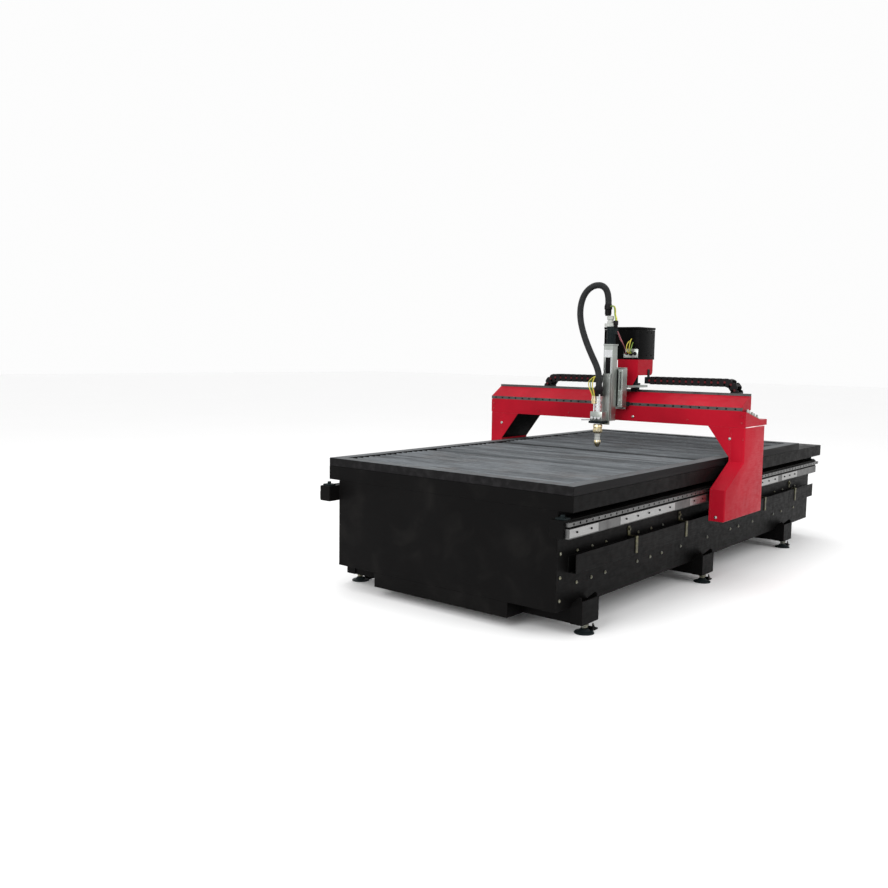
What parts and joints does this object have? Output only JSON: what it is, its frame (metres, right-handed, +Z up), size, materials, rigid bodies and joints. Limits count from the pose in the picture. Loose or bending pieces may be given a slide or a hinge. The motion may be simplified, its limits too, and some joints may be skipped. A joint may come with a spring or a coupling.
{
  "type": "gantry plasma cutting table",
  "caption": "Gantry cutting table: slatted bed on a black cabinet, rails along both sides, red bridge, and a carriage that raises a torch on a black hose.",
  "frame": {"origin": "on the floor, at the middle of the outline", "axes": "+X along the bed from the near end to the far end, +Y across the bed from the cable trough side, +Z up"},
  "size_m": [3.8, 1.97, 1.9066],
  "materials": {
    "black_paint": "satin",
    "bed_paint": "matt",
    "slat_steel": "scaled",
    "red_paint": "satin",
    "rail_steel": "ground",
    "zinc": "zinc plated",
    "aluminium": "anodised",
    "motor_black": "satin",
    "black_plastic": "matt",
    "hose_rubber": "satin",
    "white_plastic": "satin",
    "chrome": "polished",
    "brass": "polished",
    "box_black": "gloss"
  },
  "bodies": {
    "table": {"tray_frame": "black_paint", "rim_frame": "bed_paint", "deck_ledge": "bed_paint", "side_panels": "black_paint", "end_panels": "black_paint", "slats": "slat_steel", "slat_combs": "black_paint", "zone_dividers": "black_paint", "slag_trays": "slat_steel", "fume_plenum": "black_paint", "cross_beams": "black_paint", "leg_brackets": "black_paint", "foot_stems": "zinc", "foot_pads": "black_paint", "anchor_lugs": "black_paint", "front_rail_beam": "black_paint", "back_rail_beam": "black_paint", "guide_rails": "rail_steel", "rack_bars": "rail_steel", "rail_end_stops": "motor_black", "cable_trough": "black_paint", "trough_hooks": "zinc", "panel_bolts": "zinc"},
    "gantry": {"front_leg": "red_paint", "back_leg": "red_paint", "haunches": "red_paint", "leg_plates": "red_paint", "leg_drives": "motor_black", "gantry_beam": "red_paint", "beam_casing": "red_paint", "beam_guides": "rail_steel", "beam_rack": "rail_steel", "guide_blocks": "motor_black", "leg_caps": "red_paint", "chain_tray": "black_paint", "front_chain": "black_plastic", "back_chain": "black_plastic"},
    "front_pinion": {"front_pinion": "rail_steel"},
    "back_pinion": {"back_pinion": "rail_steel"},
    "carriage": {"saddle": "aluminium", "saddle_blocks": "motor_black", "cross_drive": "motor_black", "lift_housing": "aluminium", "lift_side_plate": "aluminium", "lift_cap": "aluminium", "lift_motor": "motor_black", "lift_connector": "white_plastic", "hose_gland": "black_plastic", "control_bracket": "red_paint", "control_box": "box_black", "chain_brackets": "motor_black"},
    "cross_pinion": {"cross_pinion": "rail_steel"},
    "lift_screw": {"lift_screw": "chrome"},
    "torch_lifter": {"lift_slide": "aluminium", "torch_holder": "chrome", "torch_body": "chrome", "torch_nozzle": "brass", "torch_hose": "hose_rubber"}
  },
  "joints": [
    {"name": "gantry_travel", "type": "slide", "parent": "table", "child": "gantry", "axis": [1, 0, 0], "range_m": [-1.45, 1.45]},
    {"name": "carriage_traverse", "type": "slide", "parent": "gantry", "child": "carriage", "axis": [0, 1, 0], "range_m": [-0.675, 0.815], "deforming": ["front_chain", "back_chain"]},
    {"name": "torch_lift", "type": "slide", "parent": "carriage", "child": "torch_lifter", "axis": [0, 0, 1], "range_m": [-0.02, 0.15], "deforming": ["torch_hose"]},
    {"name": "front_pinion_spin", "type": "hinge", "parent": "gantry", "child": "front_pinion", "pos_m": [0.01, -0.861, 0.515], "axis": [0, 1, 0], "range_deg": [-4164, 4164]},
    {"name": "back_pinion_spin", "type": "hinge", "parent": "gantry", "child": "back_pinion", "pos_m": [0.01, 0.861, 0.515], "axis": [0, 1, 0], "range_deg": [-4164, 4164]},
    {"name": "cross_pinion_spin", "type": "hinge", "parent": "carriage", "child": "cross_pinion", "pos_m": [0.155, -0.104, 1.183], "axis": [0, 0, 1], "range_deg": [-1944, 2345]},
    {"name": "lift_screw_spin", "type": "hinge", "parent": "carriage", "child": "lift_screw", "pos_m": [-0.16, -0.104, 1.2], "axis": [0, 0, 1], "range_deg": [-730, 5410]}
  ],
  "couplings": [
    {"joint": "front_pinion_spin", "follows": "gantry_travel", "rad_per_m": -50},
    {"joint": "back_pinion_spin", "follows": "gantry_travel", "rad_per_m": -50},
    {"joint": "cross_pinion_spin", "follows": "carriage_traverse", "rad_per_m": 50},
    {"joint": "lift_screw_spin", "follows": "torch_lift", "rad_per_m": 628.32}
  ]
}
